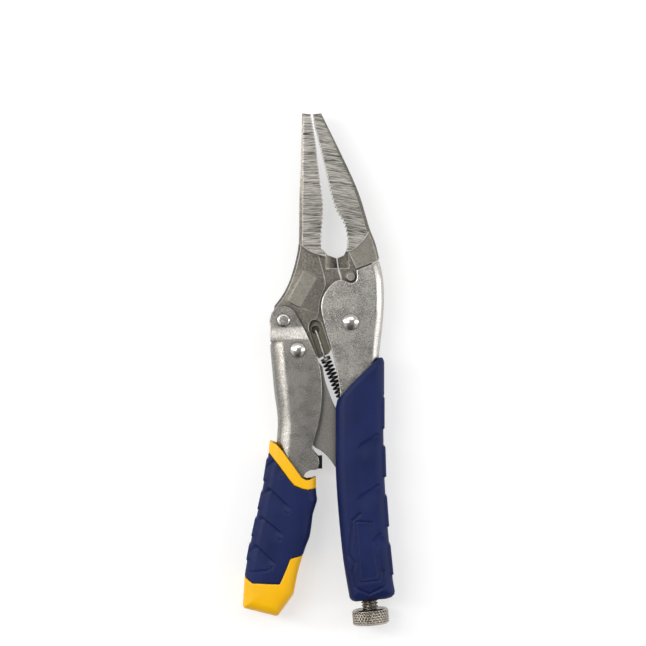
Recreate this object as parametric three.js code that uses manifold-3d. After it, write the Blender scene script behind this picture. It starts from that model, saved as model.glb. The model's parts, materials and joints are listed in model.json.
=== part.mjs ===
// Long-nose locking pliers with a wire cutter, lying flat and locked shut.
// Plan places are in millimetres from the jaw pivot: +X to the fixed jaw's side, +Y to the tips.
// Heights are from the middle plane of the tool, and the last lines set it down on its grips.

import * as THREE from "three";
import { mergeVertices } from "three/addons/utils/BufferGeometryUtils.js";
import Module from "manifold-3d";

const wasm = await Module();
wasm.setup();

// ---------------------------------------------------------------- driving dimensions

// Pivots, in plan
const JAW_PIVOT = [0, 0];
const LEVER_PIVOT = [-30.7, 0.8];
const LINK_PIVOT = [-24.2, -12.7];
const LINK_END = [4.1, -73.8]; // where the link bears on the screw's nose
const RELEASE_PIVOT = [-28, -82];

// Fits
const FIT = 0.3; // gap between a piece and the neighbour that it is cut to
const FACE_GAP = 0.1; // gap between flat faces that rest on each other
const PIN_FIT = 0.08; // radial clearance of a pin in its hole
const REACH = 80; // half-height of a cutter that goes right through

// Main handle channel
const BODY_HALF = 7.2;
const BODY_SHEET = 2.2;
const BODY_BEND = 4.2;
const BODY_END_Y = -123;

// Lever channel
const LEVER_HALF = 8.7;
const LEVER_SHEET = 2;
const LEVER_BEND = 4.4;
const LEVER_BEND_WIDTH = 6.6; // the bend is flatter than a quarter circle
const EAR_HALF = 7.7;
const EAR_RADIUS = 6.4;
const JOGGLE_TOP_Y = -2.8;
const JOGGLE_BOTTOM_Y = -7.8;
const EARS_LOW_Y = -9; // above this the walls' outer edges are square
const LEVER_END_Y = -100;

// Jaws
const NOSE_HALF = 7; // at the arc where the ground face ends
const NOSE_TIP_HALF = 3.4;
const ARC_Y = 31;
const TIP_Y = 95.8;
const FIXED_BODY_HALF = 6;
const FORGED_EDGE = 1.1; // blunted edge of the forged bodies behind the arc
const TAIL_HALF = 5.5;
const TAIL_TOP_Y = 41; // the tail runs up inside the nose to here
const TAIL_RADIUS = 5.9; // round end of the tail at the lever's pivot
const LUG_HALF = BODY_HALF - BODY_SHEET - FIT;
const LUG_RADIUS = 11.2;
const LUG_GAP_RADIUS = LUG_RADIUS + 0.5; // the hollow in the fixed jaw that the movable lug turns in
const CHAMFER_WIDTH = 1.6;
const CHAMFER_DEPTH = 1.3;
const ARC_CENTRE = [-9.4, 49.5];
const ARC_RADIUS = 19.5;
const FINE_PITCH = 1.4;
const FINE_DEPTH = 0.5;
const COARSE_PITCH = 2.1;
const COARSE_DEPTH = 0.55;
const BOSS = [0.1, 20.7]; // round button that stands up in the notch of the handle's wall
const BOSS_RADIUS = 2.2;
const BOSS_HALF = 6.2;
const CUTTER_TOP_Y = 32;
const CUTTER_BOTTOM_Y = 24.6;
const CUTTER_LAND = 0.5; // half-thickness of the cutting edge
const CUTTER_RUN = 5.2; // width of each sloping face beside it

// Raised pad on the movable jaw's tail
const PLAQUE_CENTRE = [-22.2, 14.9];
const PLAQUE_HALF = [3.6, 8.1];
const PLAQUE_TURN = THREE.MathUtils.degToRad(-28.8);
const PLAQUE_RISE = 0.55;

// Toggle link
const LINK_HALF = 4.2;
const LINK_PIVOT_RADIUS = 5.8;
const LINK_END_RADIUS = 4.6;
const SPACER_RADIUS = 5;

// Rivets and pins
const PIVOT_SHANK = 3.2;
const PIVOT_HEAD = 3.8;
const PIVOT_DOME = 1.7;
const LEVER_RIVET_HEAD = 3.05;
const LEVER_RIVET_SHANK = 2.6;
const LEVER_RIVET_RISE = 1.2;
const LINK_RIVET_HEAD = 3.55;
const LINK_RIVET_SHANK = 2.9;
const ANCHOR_PIN = [-0.7, -42.6];
const ANCHOR_PIN_RADIUS = 1;
const RELEASE_PIN_RADIUS = 2;

// Release arm
const ARM_HALF = 2.6;

// Opening spring
const HOOK_HOLE = [-16.1, -3.7];
const HOOK_HOLE_RADIUS = 1.9;
const HOOK_HOLE_FLOOR = -1.2; // the hole is blind, so the pocket's web closes it below
const COIL_TOP = [-11.7, -16.4];
const COIL_BOTTOM = [-3.1, -37];
const SPRING_END = [-1.5, -40.7]; // just short of the anchor pin
const COIL_RADIUS = 2.4;
const WIRE_RADIUS = 0.5;
const POCKET_RADIUS = 3.2;
const POCKET_LENGTH = 20;
const POCKET_WEB_HALF = 1.6;

// Adjusting screw, measured along its axis from the link's end
const SCREW_TILT = THREE.MathUtils.degToRad(4.78);
const LINK_GAP = 2.7; // room for the link's end, which strays along the axis as the lever opens
const NOSE_START = LINK_END_RADIUS + LINK_GAP;
const NOSE_LENGTH = 8.5;
const NOSE_RADIUS = 3;
const THREAD_RADIUS = 3.9;
const KNOB_START = 58.1;
const KNOB_LENGTH = 7.2;
const KNOB_RADIUS = 8.35;
const KNOB_CHAMFER = 0.8;
const COLLAR_TOP_Y = -106;

// Grips
const GRIP_HALF = 11.5;
const GRIP_ROUND = 4.6;
const GRIP_BLOCK = 0.8; // how far the raised finger blocks stand out
const BLOCK_HALF = 8.1;
const LINK_SLOT_HALF = 5.2; // the slot in the main grip that the link lies in
const CORE_HALF = 10;
const SKIN = 1.3;
const CORE_CAVITY_HALF = LEVER_HALF + FIT;

const CIRCLE_STEPS = 28;
const SMALL_CIRCLE_STEPS = 16;

// ---------------------------------------------------------------- materials

const finish = (color, roughness, metalness) =>
  new THREE.MeshStandardMaterial({ color, roughness, metalness, flatShading: true });

const NICKEL = finish(0xb9b5ac, 0.38, 0.9);
const GROUND_STEEL = finish(0x96918a, 0.45, 0.9);
const DARK_STEEL = finish(0x57534d, 0.5, 0.8);
const SPRING_BLACK = finish(0x141414, 0.4, 0.6);
const BLUE = finish(0x21305e, 0.6, 0);
const YELLOW = finish(0xf4bd16, 0.4, 0);

// ---------------------------------------------------------------- solids

// A closed three.js geometry as a solid that can be joined and cut.
function solid(geometry) {
  const bare = geometry.clone();
  bare.deleteAttribute("normal");
  bare.deleteAttribute("uv");
  const merged = mergeVertices(bare, 1e-4);
  const index = merged.index.array;
  const kept = [];
  for (let i = 0; i < index.length; i += 3) {
    const [a, b, c] = [index[i], index[i + 1], index[i + 2]];
    if (a !== b && b !== c && c !== a) kept.push(a, b, c);
  }
  return new wasm.Manifold(
    new wasm.Mesh({
      numProp: 3,
      vertProperties: merged.attributes.position.array,
      triVerts: new Uint32Array(kept),
    }),
  );
}

const join = (first, ...others) => others.reduce((sum, other) => sum.add(other), first);
const cut = (first, ...others) => others.reduce((rest, other) => rest.subtract(other), first);

const pieces = new THREE.Group();

// Adds a finished solid to the model as a named mesh.
function piece(name, made, material, parent = pieces) {
  const mesh = made.getMesh();
  const geometry = new THREE.BufferGeometry();
  geometry.setAttribute("position", new THREE.BufferAttribute(mesh.vertProperties, 3));
  geometry.setIndex(new THREE.BufferAttribute(mesh.triVerts, 1));
  geometry.computeVertexNormals();
  const node = new THREE.Mesh(geometry, material);
  node.name = name;
  parent.add(node);
  return node;
}

// ---------------------------------------------------------------- outlines

const vectors = (points) => points.map(([x, y]) => new THREE.Vector2(x, y));

// A smooth line through the points, as that many straight steps.
function smooth(points, steps) {
  return new THREE.SplineCurve(vectors(points)).getPoints(steps).map((p) => [p.x, p.y]);
}

// Points on a circle between two angles in degrees, turning anticlockwise if the second is larger.
function arc([x, y], radius, from, to, steps) {
  return Array.from({ length: steps + 1 }, (_, i) => {
    const angle = THREE.MathUtils.degToRad(from + ((to - from) * i) / steps);
    return [x + radius * Math.cos(angle), y + radius * Math.sin(angle)];
  });
}

const moved = (points, dx, dy = 0) => points.map(([x, y]) => [x + dx, y + dy]);
const shapeOf = (points) => new THREE.Shape(vectors(points));

// Saw teeth along a smooth line: crests on the line, roots to its left (side 1) or right (side -1).
function toothed(points, pitch, depth, side) {
  const curve = new THREE.SplineCurve(vectors(points));
  const count = Math.round(curve.getLength() / pitch);
  const teeth = [];
  for (let i = 0; i < count; i++) {
    const crest = curve.getPointAt(i / count);
    const root = curve.getPointAt((i + 0.5) / count);
    const along = curve.getTangentAt((i + 0.5) / count);
    teeth.push([crest.x, crest.y]);
    teeth.push([root.x - side * depth * along.y, root.y + side * depth * along.x]);
  }
  const end = curve.getPointAt(1);
  teeth.push([end.x, end.y]);
  return teeth;
}

// ---------------------------------------------------------------- basic bodies

// A plate of the outline between two heights.
function plate(points, low, high) {
  const geometry = new THREE.ExtrudeGeometry(shapeOf(points), {
    depth: high - low,
    bevelEnabled: false,
  });
  return solid(geometry.translate(0, 0, low));
}

// A plate about the middle plane whose edges are cut back by width over depth, in that many steps.
function edgedPlate(points, half, width, depth, steps, inset = 0) {
  const geometry = new THREE.ExtrudeGeometry(shapeOf(points), {
    depth: 2 * (half - depth),
    bevelEnabled: true,
    bevelThickness: depth,
    bevelSize: width,
    bevelOffset: -width - inset,
    bevelSegments: steps,
  });
  return solid(geometry.translate(0, 0, depth - half));
}

// A bar with a side profile of [y, z] points, running across the tool.
function crossBar(profile, left, right) {
  const geometry = new THREE.ExtrudeGeometry(shapeOf(profile), {
    depth: right - left,
    bevelEnabled: false,
  });
  const yzx = new THREE.Matrix4().makeBasis(
    new THREE.Vector3(0, 1, 0),
    new THREE.Vector3(0, 0, 1),
    new THREE.Vector3(1, 0, 0),
  );
  return solid(geometry.applyMatrix4(yzx).translate(left, 0, 0));
}

// A cutter of the outline that goes right through the tool.
const through = (points) => plate(points, -REACH, REACH);

const circle = (radius, steps) => arc([0, 0], radius, 0, 360 - 360 / steps, steps - 1);

const disc = ([x, y], radius, low, high, steps = CIRCLE_STEPS) =>
  plate(moved(circle(radius, steps), x, y), low, high);

const pinHole = (centre, radius, steps) => disc(centre, radius + PIN_FIT, -REACH, REACH, steps);

// A body turned about an upright axis, from [radius, height] points listed upwards.
function turned([x, y], profile, steps = CIRCLE_STEPS) {
  const geometry = new THREE.LatheGeometry(vectors(profile), steps);
  return solid(geometry.rotateX(Math.PI / 2).translate(x, y, 0));
}

// A round bar along the screw's own -Y axis, from [radius, distance] points listed outwards.
function screwBar(profile) {
  const upwards = profile.map(([radius, distance]) => [radius, -distance]).reverse();
  return solid(new THREE.LatheGeometry(vectors(upwards), CIRCLE_STEPS));
}

// A rivet with the same domed head on both sides.
function rivet(centre, shank, head, face, rise) {
  const domeSteps = 4;
  const dome = Array.from({ length: domeSteps + 1 }, (_, i) => {
    const angle = (Math.PI / 2) * (i / domeSteps);
    return [head * Math.cos(angle), face + rise * Math.sin(angle)];
  });
  dome[domeSteps][0] = 0;
  const upper = [[shank, face], ...dome];
  const lower = upper.map(([radius, height]) => [radius, -height]).reverse();
  return turned(centre, [...lower, ...upper]);
}

// ---------------------------------------------------------------- jaws

const NOSE_SLOPE = (NOSE_HALF - NOSE_TIP_HALF) / (TIP_Y - ARC_Y);

// Thins a solid evenly from the arc to the tips.
function taper(made) {
  const { numProp, vertProperties, triVerts } = made.getMesh();
  for (let i = 0; i < vertProperties.length; i += numProp) {
    const half = NOSE_HALF - NOSE_SLOPE * (vertProperties[i + 1] - ARC_Y);
    vertProperties[i + 2] *= half / NOSE_HALF;
  }
  return new wasm.Manifold(new wasm.Mesh({ numProp, vertProperties, triVerts }));
}

const FIXED_BACK = smooth(
  [
    [-13.5, TIP_Y],
    [-5.3, 79.1],
    [1.2, 65.3],
    [4.8, 56.1],
    [8.6, 43.2],
    [10.8, 37.7],
    [12.2, 33.1],
    [13.3, 28],
  ],
  18,
);
const FIXED_FINE = [
  [-17.4, 95.3],
  [-16.8, 90.6],
  [-15.2, 84.6],
  [-13.3, 76.8],
  [-11, 67.6],
  [-10, 62.8],
];
const FIXED_THROAT = [
  [-10, 62.8],
  [-9, 58.4],
  [-6.7, 51.5],
  [-4.6, 48],
  [-2.9, 44.6],
  [-1.9, 40.5],
  [-1.5, 36.5],
  [-1.7, 33.8],
];
const MOVABLE_BACK = smooth(
  [
    [-22.3, TIP_Y],
    [-22.8, 74.5],
    [-23.5, 56.1],
    [-23.7, 37.7],
    [-25.1, 28.5],
    [-27.8, 19.3],
    [-31, 12.7],
    [-34.9, 7.4],
  ],
  18,
);
const MOVABLE_FINE = [
  [-18.1, 95.3],
  [-17.5, 91.5],
  [-16.1, 83.7],
  [-15, 74.5],
  [-13.8, 64.4],
];
const MOVABLE_THROAT = [
  [-13.8, 64.4],
  [-12.9, 58.4],
  [-12.4, 51.5],
  [-12.9, 44.6],
  [-13.3, 40],
  [-13.3, 35.4],
  [-12.6, 33],
];

// The part of a jaw that stands proud: all that lies above the grinding arc.
function aboveArc() {
  const rim = arc(ARC_CENTRE, ARC_RADIUS, 180, 360, 24);
  const y = ARC_CENTRE[1];
  return [[-REACH, 2 * REACH], [-REACH, y], ...rim, [REACH, y], [REACH, 2 * REACH]];
}

// Two sloping faces that bring a jaw's cutting edge down to a narrow land at the parting line.
function cutterBevels(edgeX, side) {
  const past = edgeX - side;
  const end = edgeX + side * CUTTER_RUN;
  const wedge = (sign) => {
    const land = sign * CUTTER_LAND;
    const deep = sign * (LUG_HALF + 3);
    const face = sign * LUG_HALF;
    const profile = shapeOf([[past, land], [edgeX, land], [end, face], [end, deep], [past, deep]]);
    const geometry = new THREE.ExtrudeGeometry(profile, {
      depth: CUTTER_TOP_Y - CUTTER_BOTTOM_Y,
      bevelEnabled: false,
    });
    const xzy = new THREE.Matrix4().makeBasis(
      new THREE.Vector3(1, 0, 0),
      new THREE.Vector3(0, 0, 1),
      new THREE.Vector3(0, -1, 0),
    );
    return solid(geometry.applyMatrix4(xzy).translate(0, CUTTER_TOP_Y, 0));
  };
  return join(wedge(1), wedge(-1));
}

function fixedJaw() {
  const teeth = [
    ...toothed(FIXED_FINE, FINE_PITCH, FINE_DEPTH, 1),
    ...toothed(FIXED_THROAT, COARSE_PITCH, COARSE_DEPTH, 1).slice(1),
  ];
  const blade = [
    [-3, 30.6],
    [-6.1, 29.3],
    [-5.5, 24.8],
    [-4.2, 20.2],
    [-3.2, 12.6],
  ];
  const hollow = arc(JAW_PIVOT, LUG_GAP_RADIUS, 105, 32, 8);
  const region = [...FIXED_BACK, [13.6, 20], [-45, 20], [-45, TIP_Y]];
  const nose = taper(
    edgedPlate(region, NOSE_HALF, CHAMFER_WIDTH, CHAMFER_DEPTH, 1)
      .intersect(through([...teeth, ...blade, [12, 12.6], ...[...FIXED_BACK].reverse()]))
      .intersect(through(aboveArc())),
  );
  const belowArc = [
    [-1.5, 38],
    [-1.6, 33.6],
    [0.7, 28.6],
    [2.6, 24.6],
    [6.7, 26],
    [12.9, 28.4],
    [16, 46],
    [3, 46],
  ];
  const body = edgedPlate(region, FIXED_BODY_HALF, FORGED_EDGE, FORGED_EDGE, 1).intersect(through(belowArc));
  const lug = plate(
    [
      ...toothed(FIXED_THROAT, COARSE_PITCH, COARSE_DEPTH, 1).slice(10),
      ...blade,
      ...hollow,
      [11.3, 8],
      [11.4, 16],
      [10.1, 25],
      [8.4, 40],
    ],
    -LUG_HALF,
    LUG_HALF,
  );
  const boss = turned(BOSS, [
    [0, -BOSS_HALF],
    [BOSS_RADIUS - 0.4, -BOSS_HALF],
    [BOSS_RADIUS, 0.4 - BOSS_HALF],
    [BOSS_RADIUS, BOSS_HALF - 0.4],
    [BOSS_RADIUS - 0.4, BOSS_HALF],
    [0, BOSS_HALF],
  ]);
  return cut(join(nose, body, lug, boss), cutterBevels(-5.9, 1));
}

// The spring's pocket: a round-ended trough that runs out through the lower edge of the tail.
function pocketOutline() {
  const [x, y] = HOOK_HOLE;
  const heading = Math.atan2(COIL_TOP[1] - y, COIL_TOP[0] - x);
  const degrees = THREE.MathUtils.radToDeg(heading);
  const far = [x + POCKET_LENGTH * Math.cos(heading), y + POCKET_LENGTH * Math.sin(heading)];
  const across = [-Math.sin(heading) * POCKET_RADIUS, Math.cos(heading) * POCKET_RADIUS];
  return [
    ...arc([x, y + POCKET_RADIUS / 2], POCKET_RADIUS, degrees + 90, degrees + 270, 10),
    [far[0] - across[0], far[1] - across[1]],
    [far[0] + across[0], far[1] + across[1]],
  ];
}

// A flat pad with rounded corners on the tail's upper face.
function plaque() {
  const round = 1.1;
  const [x, y] = [PLAQUE_HALF[0] - round, PLAQUE_HALF[1] - round];
  const corners = [
    ...arc([x, y], round, 0, 90, 3),
    ...arc([-x, y], round, 90, 180, 3),
    ...arc([-x, -y], round, 180, 270, 3),
    ...arc([x, -y], round, 270, 360, 3),
  ];
  const edge = 0.35;
  const root = 1; // how far the pad reaches down through and into the face
  const pad = new THREE.ExtrudeGeometry(shapeOf(corners), {
    depth: root,
    bevelEnabled: true,
    bevelThickness: edge,
    bevelSize: edge,
    bevelOffset: -edge,
    bevelSegments: 1,
  });
  pad.rotateZ(PLAQUE_TURN);
  return solid(pad.translate(...PLAQUE_CENTRE, TAIL_HALF + PLAQUE_RISE - root - edge));
}

function movableJaw() {
  const teeth = [
    ...toothed(MOVABLE_FINE, FINE_PITCH, FINE_DEPTH, -1),
    ...toothed(MOVABLE_THROAT, COARSE_PITCH, COARSE_DEPTH, -1).slice(1),
  ];
  const blade = [
    [-10.6, 30.7],
    [-6.5, 29.3],
    [-5.9, 24.8],
    [-4.6, 20.2],
    [-3.8, 12.3],
  ];
  const back = [...MOVABLE_BACK].reverse();
  const region = [[45, -20], [45, TIP_Y], ...MOVABLE_BACK, [-36.9, 4], [-36.9, -20]];
  const nose = taper(
    edgedPlate(region, NOSE_HALF, CHAMFER_WIDTH, CHAMFER_DEPTH, 1)
      .intersect(through([...teeth, ...blade, [-20, 12.3], ...back]))
      .intersect(through(aboveArc())),
  );
  const tailOutline = [
    [-24.2, TAIL_TOP_Y],
    [-14.2, TAIL_TOP_Y],
    [-14.2, 34],
    ...smooth([[-14.5, 29.9], [-13.1, 24.8], [-11.9, 20.2], [-11.6, 16.4], [-13.2, 12.6], [-14.3, 8.4]], 8),
    [-14.6, 4],
    [-17, -2],
    [-20.4, -5.4],
    ...arc(LEVER_PIVOT, TAIL_RADIUS, 270, 140, 10),
    ...back.filter(([, y]) => y < TAIL_TOP_Y),
  ];
  const tail = edgedPlate(region, TAIL_HALF, FORGED_EDGE, FORGED_EDGE, 1).intersect(through(tailOutline));
  const lug = plate(
    [
      ...toothed(MOVABLE_THROAT, COARSE_PITCH, COARSE_DEPTH, -1).slice(15),
      ...blade,
      ...arc(JAW_PIVOT, LUG_RADIUS, 105, -125, 22),
      [-10.2, -14.6],
      [-12.4, -15.6],
      [-14.6, -16.8],
      [-16.4, -14.6],
      [-18.6, -9],
      [-21, -5],
      [-22, 10],
      [-20, 36],
    ],
    -LUG_HALF,
    LUG_HALF,
  );
  const trough = (low, high) => plate(pocketOutline(), low, high);
  return cut(
    join(nose, tail, lug, plaque()),
    cutterBevels(-6.1, -1),
    trough(POCKET_WEB_HALF, REACH),
    trough(-REACH, -POCKET_WEB_HALF),
    disc(HOOK_HOLE, HOOK_HOLE_RADIUS, HOOK_HOLE_FLOOR, REACH, 16),
    pinHole(JAW_PIVOT, PIVOT_SHANK),
    pinHole(LEVER_PIVOT, LEVER_RIVET_SHANK),
  );
}

// ---------------------------------------------------------------- main handle

// The web's outer face in plan, from the fixed jaw down to the screw end.
const BODY_BACK = smooth(
  [
    [13.2, 28],
    [14.6, 22],
    [15.2, 16],
    [15.3, 8],
    [14.7, -1],
    [13.7, -10],
    [12.9, -20],
    [12.6, -50],
    [13.2, -72],
    [14.6, -95],
    [17, BODY_END_Y],
  ],
  26,
);
// The walls' free edge in plan, from the screw end up to the front.
const BODY_RIM = [
  [1.6, BODY_END_Y],
  [-1, -105],
  [-2.8, -86.5],
  [-4.2, -66],
  [-4.4, -42],
  ...smooth(
    [
      [-5.1, -30.4],
      [-6.4, -22.5],
      [-8.6, -13],
      [-11.3, -4.1],
      [-12.9, 2.3],
      [-13.6, 7],
      [-12.7, 11.5],
      [-10.3, 15.6],
      [-7.2, 18.6],
      [-4, 19.4],
      [-1.7, 18.4],
    ],
    26,
  ),
  ...arc([0.2, 20.5], 2.65, 235, 365, 6),
  [2.6, 23.8],
  [7.4, 25.6],
];

// A region that ends at the given back line and reaches well past the open side.
const leftOf = (back) => [
  [-REACH, REACH],
  [-REACH, -2 * REACH],
  [back.at(-1)[0] + 1.5, -2 * REACH],
  ...[...back].reverse(),
  [8, REACH],
];

function mainHandle() {
  const outline = plate([...BODY_RIM, ...BODY_BACK], -BODY_HALF, BODY_HALF);
  const shell = edgedPlate(leftOf(BODY_BACK), BODY_HALF, BODY_BEND, BODY_BEND, 4).intersect(outline);
  const inner = BODY_BEND - BODY_SHEET;
  const pocket = edgedPlate(
    leftOf(moved(BODY_BACK, -BODY_SHEET)),
    BODY_HALF - BODY_SHEET,
    inner,
    inner,
    2,
  );
  return cut(
    shell,
    pocket,
    pinHole(JAW_PIVOT, PIVOT_SHANK),
    pinHole(ANCHOR_PIN, ANCHOR_PIN_RADIUS, SMALL_CIRCLE_STEPS),
  );
}

// The space that the closed channel fills, grown by a gap, for the grip to be moulded round.
function channelSpace(gap) {
  const back = moved(BODY_BACK, gap);
  const rim = moved(BODY_RIM, -gap).filter(([, y]) => y < 0);
  const low = BODY_END_Y - gap;
  const outline = [...rim, ...back, [back.at(-1)[0], low], [rim[0][0], low]];
  return edgedPlate(leftOf(back), BODY_HALF + gap, BODY_BEND, BODY_BEND, 4).intersect(through(outline));
}

// ---------------------------------------------------------------- lever

const LEVER_BACK = smooth(
  [
    [-36.9, -5],
    [-36.8, -12],
    [-36.2, -19],
    [-35, -32],
    [-33.7, -41],
    [-33.4, -47.5],
    [-33.9, -55],
    [-34.8, -66],
    [-35.8, -80],
    [-38, LEVER_END_Y],
  ],
  22,
);
const LEVER_RIM = [
  ...smooth(
    [
      [-24.6, 2.9],
      [-22.6, -0.6],
      [-19.6, -6.4],
      [-16.8, -12.9],
      [-14.3, -19.6],
      [-13.3, -27],
      [-13.2, -34],
      [-13.9, -42],
      [-15.6, -50],
      [-17.3, -56.4],
      [-16.6, -59.6],
      [-14.7, -61.9],
      [-14.4, -65],
      [-15.3, -67.4],
    ],
    36,
  ),
  ...smooth([[-18.2, -67.6], [-20.2, -68.6], [-21.3, -70.2], [-21.6, -72.4]], 5),
  [-24, -86],
  [-27, LEVER_END_Y],
];

// Side profile of the lever's outer or inner faces: ears set in, full width below the joggle.
function leverSides(inset) {
  const ear = EAR_HALF - inset;
  const wide = LEVER_HALF - inset;
  const half = [
    [REACH, ear],
    [JOGGLE_TOP_Y, ear],
    [JOGGLE_BOTTOM_Y, wide],
    [-2 * REACH, wide],
  ];
  return [...half, ...half.map(([y, z]) => [y, -z]).reverse()];
}

function leverHandle() {
  const ear = arc(LEVER_PIVOT, EAR_RADIUS, 22, 180, 14);
  const outline = [...[...LEVER_RIM].reverse(), ...ear, ...LEVER_BACK];
  const farCorners = [[REACH, -2 * REACH], [REACH, REACH]];
  const pocketBack = moved(LEVER_BACK, LEVER_SHEET).filter(([, y]) => y < JOGGLE_BOTTOM_Y);
  const pocket = edgedPlate(
    [[-REACH, JOGGLE_BOTTOM_Y], ...pocketBack, [-36.6, -2 * REACH], ...farCorners, [-REACH, REACH]],
    LEVER_HALF - LEVER_SHEET,
    LEVER_BEND_WIDTH - LEVER_SHEET,
    LEVER_BEND - LEVER_SHEET,
    3,
  );
  const bent = edgedPlate(
    [...LEVER_BACK, [-38.6, -2 * REACH], ...farCorners, [-37.1, REACH]],
    LEVER_HALF,
    LEVER_BEND_WIDTH,
    LEVER_BEND,
    5,
  );
  const ears = plate([...ear, [-37.1, EARS_LOW_Y], [-20, EARS_LOW_Y]], -LEVER_HALF, LEVER_HALF);
  const hollow = crossBar(leverSides(LEVER_SHEET), -REACH, REACH).intersect(pocket);
  return cut(
    join(bent, ears).intersect(through(outline)).intersect(crossBar(leverSides(0), -REACH, REACH)),
    hollow,
    pinHole(LEVER_PIVOT, LEVER_RIVET_SHANK),
    pinHole(LINK_PIVOT, LINK_RIVET_SHANK),
    releasePinHole(),
  );
}

// ---------------------------------------------------------------- toggle link

function toggleLink() {
  const right = smooth([[-12.9, -20.6], [-11.7, -26.9], [-9.7, -32.8], [-7.9, -37.5], [-3.4, -47.4]], 10);
  const left = smooth(
    [[-7, -66.5], [-9.4, -63], [-11.8, -60.4], [-14.2, -58.5], [-16.8, -57], [-20.5, -51], [-25.5, -37]],
    14,
  );
  const outline = [
    ...arc(LINK_PIVOT, LINK_PIVOT_RADIUS, 190, 10, 14),
    [-16.4, -16.4],
    ...right,
    [6.2, -66],
    ...arc(LINK_END, LINK_END_RADIUS, 20, -160, 12),
    ...left,
  ];
  return cut(plate(outline, -LINK_HALF, LINK_HALF), pinHole(LINK_PIVOT, LINK_RIVET_SHANK));
}

// A washer between the link and one wall of the lever.
function linkSpacer(sign) {
  const faces = [LINK_HALF + FACE_GAP, LEVER_HALF - LEVER_SHEET - FACE_GAP].map((z) => sign * z);
  const [low, high] = faces.sort((a, b) => a - b);
  return cut(disc(LINK_PIVOT, SPACER_RADIUS, low, high), pinHole(LINK_PIVOT, LINK_RIVET_SHANK));
}

// ---------------------------------------------------------------- spring

// A round bar between two plan points at one height.
function levelBar([x0, y0], [x1, y1], z, radius, steps) {
  const path = new THREE.LineCurve3(new THREE.Vector3(x0, y0, z), new THREE.Vector3(x1, y1, z));
  const ring = shapeOf(circle(radius, steps));
  return solid(new THREE.ExtrudeGeometry(ring, { steps: 1, bevelEnabled: false, extrudePath: path }));
}

// The coil as its outer envelope, with a straight leg and a hook at each end.
function openingSpring() {
  const legHeight = POCKET_WEB_HALF + 0.2 + WIRE_RADIUS;
  const hookSteps = 8;
  const upperLeg = levelBar(HOOK_HOLE, COIL_TOP, legHeight, WIRE_RADIUS, hookSteps);
  const upperHook = disc(HOOK_HOLE, WIRE_RADIUS, HOOK_HOLE_FLOOR + FACE_GAP, legHeight, hookSteps);
  const coil = levelBar(COIL_TOP, COIL_BOTTOM, 0, COIL_RADIUS, 12);
  const lowerLeg = levelBar(COIL_BOTTOM, SPRING_END, 0, WIRE_RADIUS, hookSteps);
  return join(upperLeg, upperHook, coil, lowerLeg);
}

// ---------------------------------------------------------------- adjusting screw

// The screw end of the channel holds a threaded block; the bore leaves the thread's crests free.
function threadCollar() {
  const top = COLLAR_TOP_Y;
  const low = BODY_END_Y + FACE_GAP;
  const block = plate([[0.2, top], [2.4, low], [13.2, low], [11.8, top]], -LUG_HALF, LUG_HALF);
  return cut(block, screwBore(THREAD_RADIUS + FIT));
}

// A long round cutter on the screw's axis.
function screwBore(radius) {
  const profile = vectors([[0, -REACH], [radius, -REACH], [radius, 0], [0, 0]]);
  return solid(new THREE.LatheGeometry(profile, CIRCLE_STEPS).rotateZ(SCREW_TILT).translate(...LINK_END, 0));
}

function screwNose() {
  const start = NOSE_START;
  const end = start + NOSE_LENGTH;
  const radius = NOSE_RADIUS;
  return screwBar([[0, start], [radius - 1, start], [radius, start + 1], [radius, end], [0, end]]);
}

function adjustingScrew() {
  const start = NOSE_START + NOSE_LENGTH + FIT;
  const knobEnd = KNOB_START + KNOB_LENGTH;
  const rim = KNOB_RADIUS - KNOB_CHAMFER;
  return screwBar([
    [0, start],
    [THREAD_RADIUS - 0.7, start],
    [THREAD_RADIUS, start + 0.7],
    [THREAD_RADIUS, KNOB_START],
    [rim, KNOB_START],
    [KNOB_RADIUS, KNOB_START + KNOB_CHAMFER],
    [KNOB_RADIUS, knobEnd - KNOB_CHAMFER],
    [rim, knobEnd],
    [rim - 1, knobEnd],
    [rim - 1.6, knobEnd - 0.5],
    [0, knobEnd - 0.5],
  ]);
}

// ---------------------------------------------------------------- grips

// Raised blocks along a grip's outer edge, each over one stretch of its base line.
function blocks(ends, side) {
  const proud = side * GRIP_BLOCK;
  const root = -side * 6;
  return ends.map(([[x0, y0], [x1, y1]]) =>
    edgedPlate([[x0 + proud, y0], [x0 + root, y0], [x1 + root, y1], [x1 + proud, y1]], BLOCK_HALF, 1, 1, 1),
  );
}

function mainGrip() {
  const outline = [
    [14.9, -10],
    [15, -30],
    [14.9, -50],
    [15.6, -73],
    [17, -95],
    [19.1, -116],
    [20.6, -126],
    [-0.5, -128.2],
    [-2.6, -114],
    [-3.9, -104.5],
    [-5.6, -87],
    [-6.8, -68],
    [-6.9, -50],
    [-6.9, -10],
  ];
  const lowerCorners = [[-20, 0], [40, 0], [21, -122.6], [17.2, -126.4], [1.1, -128], [-0.6, -126.2]];
  const topEdge = [[-12, -31.8], [-7, -37.4], [-4.6, -34], [12.6, -16.5], [24, -16.9], [24, 20], [-12, 20]];
  const blockEnds = [
    [[15, -34.5], [14.9, -48.8]],
    [[15.1, -57], [15.5, -70.8]],
    [[15.8, -79.6], [16.9, -93.4]],
    [[17.6, -101.7], [19, -115.5]],
  ];
  const solidGrip = join(
    edgedPlate(outline, GRIP_HALF, GRIP_ROUND, GRIP_ROUND, 3).intersect(through(lowerCorners)),
    ...blocks(blockEnds, 1),
  );
  const linkSlot = plate([[-20, -10], [4, -10], [4, -83], [-20, -83]], -LINK_SLOT_HALF, LINK_SLOT_HALF);
  const screwExit = screwBore(THREAD_RADIUS + 0.8);
  return cut(solidGrip, through(topEdge), channelSpace(FIT), linkSlot, screwExit);
}

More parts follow.
